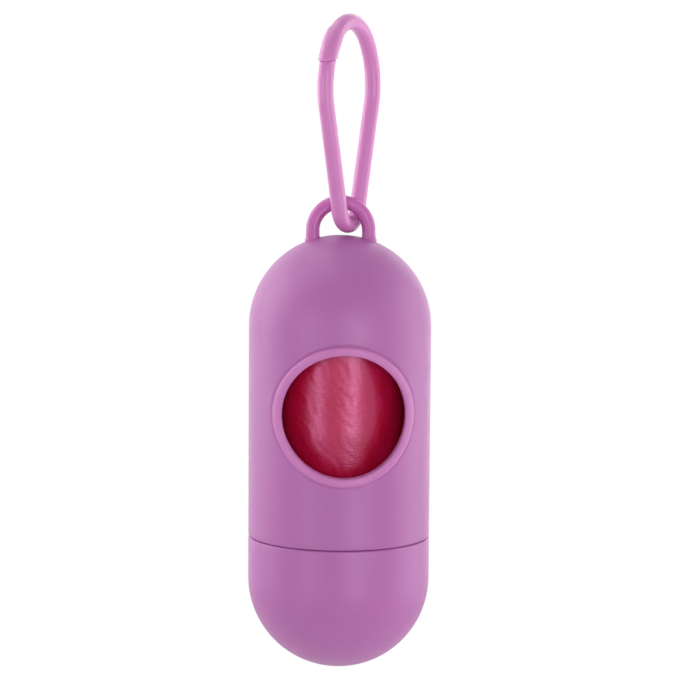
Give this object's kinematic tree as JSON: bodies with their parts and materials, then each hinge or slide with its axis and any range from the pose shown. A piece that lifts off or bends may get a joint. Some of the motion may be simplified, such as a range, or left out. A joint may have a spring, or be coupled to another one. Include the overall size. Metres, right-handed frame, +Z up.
{
  "type": "dog poop bag dispenser",
  "caption": "Capsule-shaped dog waste bag dispenser with a round window, a screw cap, a hanging eye, a spring clip and a roll of bags on a core.",
  "frame": {"origin": "underside of the clip's crown, the point that a ring, loop or hook carries", "axes": "+Z up along the hanging dispenser, -Y out of the round window, +X to the right seen from the window side"},
  "size_m": [0.04, 0.0407, 0.1438],
  "materials": {
    "clip_plastic": "glossy, slightly translucent rose-lilac moulding",
    "body_plastic": "satin orchid-lilac moulding",
    "cap_plastic": "satin orchid-lilac moulding",
    "core_card": "plain grey-brown cardboard tube",
    "bag_film": "thin crimson polyethylene film, wound and wrinkled"
  },
  "bodies": {
    "clip": {"clip_frame": "clip_plastic"},
    "gate": {"clip_gate": "clip_plastic"},
    "shell": {"body_shell": "body_plastic"},
    "core": {"roll_core": "core_card"},
    "cap": {"screw_cap": "cap_plastic"},
    "roll": {"bag_01": "bag_film", "bag_02": "bag_film", "bag_03": "bag_film", "bag_04": "bag_film", "bag_05": "bag_film", "bag_06": "bag_film", "bag_07": "bag_film", "bag_08": "bag_film", "bag_09": "bag_film", "bag_10": "bag_film", "bag_11": "bag_film", "bag_12": "bag_film", "bag_13": "bag_film", "bag_14": "bag_film", "bag_15": "bag_film"}
  },
  "joints": [
    {"name": "gate_flex", "type": "hinge", "parent": "clip", "child": "gate", "pos_m": [-0.00315, -0.00513, -0.03245], "axis": [-0.8526, 0.5225, 0], "range_deg": [0, 20], "stiffness_Nm_per_rad": 0.15},
    {"name": "shell_swing", "type": "hinge", "parent": "clip", "child": "shell", "pos_m": [0, 0, -0.04235], "axis": [0, 1, 0], "range_deg": [-40, 40]},
    {"name": "cap_turn", "type": "hinge", "parent": "core", "child": "cap", "pos_m": [-0.0017, -0.0003, -0.11099], "axis": [0, 0, -1], "range_deg": [0, 720]},
    {"name": "cap_travel", "type": "slide", "parent": "shell", "child": "core", "axis": [0, 0, -1], "range_m": [0, 0.012]},
    {"name": "roll_spin", "type": "hinge", "parent": "core", "child": "roll", "pos_m": [-0.0017, -0.0003, -0.13024], "axis": [0, 0, 1], "continuous": true}
  ],
  "couplings": [
    {"joint": "cap_turn", "follows": "cap_travel", "rad_per_m": 1047.2}
  ]
}
